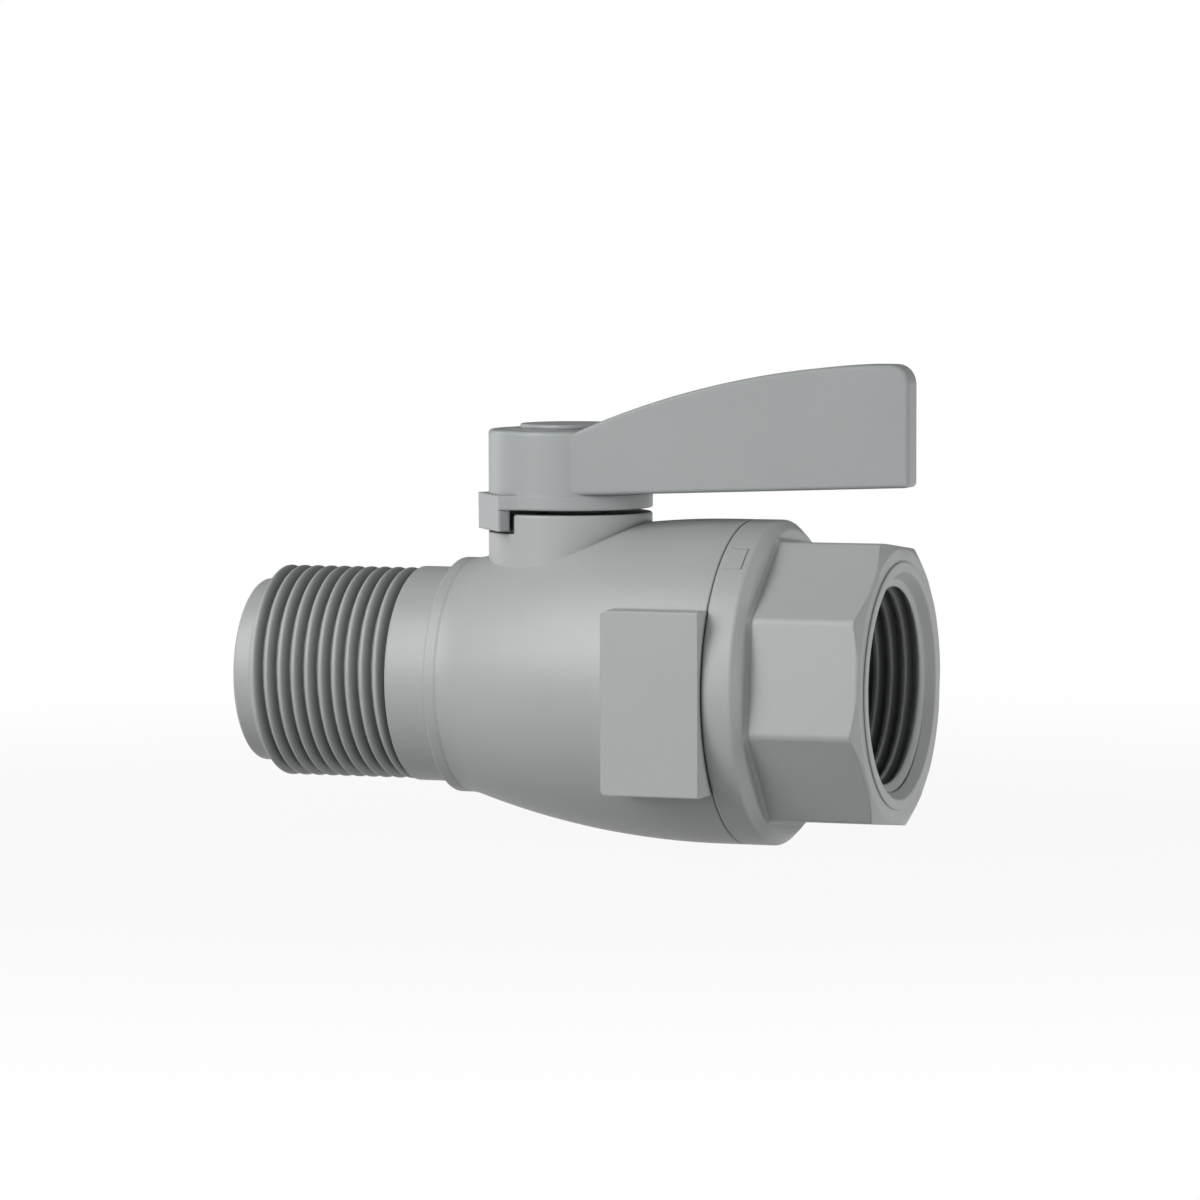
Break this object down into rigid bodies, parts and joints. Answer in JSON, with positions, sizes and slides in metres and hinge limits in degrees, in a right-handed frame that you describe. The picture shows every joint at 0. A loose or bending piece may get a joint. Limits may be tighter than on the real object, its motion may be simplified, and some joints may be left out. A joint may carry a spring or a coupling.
{
  "type": "ball valve",
  "caption": "Compact quarter-turn isolation ball valve in grey plastic, male pipe thread to female pipe thread, with a blade lever, stop lug, wrench pads and a screwed octagonal end connector.",
  "frame": {"origin": "on the flow axis, in the plane where the male thread begins", "axes": "+X along the flow axis from the male thread to the female end, +Z along the stem axis, up through the lever's hub"},
  "size_m": [0.0851, 0.0414, 0.0592],
  "materials": {
    "moulded_body": "satin moulded PVC, mid grey",
    "moulded_lever": "satin moulded plastic, mid grey",
    "ball_plastic": "polished plastic, dark grey",
    "stem_plastic": "turned plastic, grey",
    "seat_plastic": "waxy white seat plastic",
    "rubber": "black sealing rubber",
    "stainless": "stainless steel"
  },
  "bodies": {
    "valve_body": {"body": "moulded_body", "end_connector": "moulded_body", "seat_inlet": "seat_plastic", "seat_outlet": "seat_plastic", "seat_ring_inlet": "rubber", "seat_ring_outlet": "rubber", "connector_ring": "rubber"},
    "lever_set": {"lever": "moulded_lever", "stem": "stem_plastic", "stem_ring_lower": "rubber", "stem_ring_upper": "rubber", "thrust_washer": "seat_plastic", "lever_screw": "stainless", "screw_washer": "stainless", "hub_cap": "moulded_lever"},
    "ball_set": {"ball": "ball_plastic"}
  },
  "joints": [
    {"name": "lever_turn", "type": "hinge", "parent": "valve_body", "child": "lever_set", "pos_m": [0.0378, 0, 0], "axis": [0, 0, 1], "range_deg": [-90, 0]},
    {"name": "ball_turn", "type": "hinge", "parent": "valve_body", "child": "ball_set", "pos_m": [0.0378, 0, 0], "axis": [0, 0, 1], "range_deg": [-90, 0]}
  ],
  "couplings": [
    {"joint": "ball_turn", "follows": "lever_turn", "ratio": 1}
  ]
}
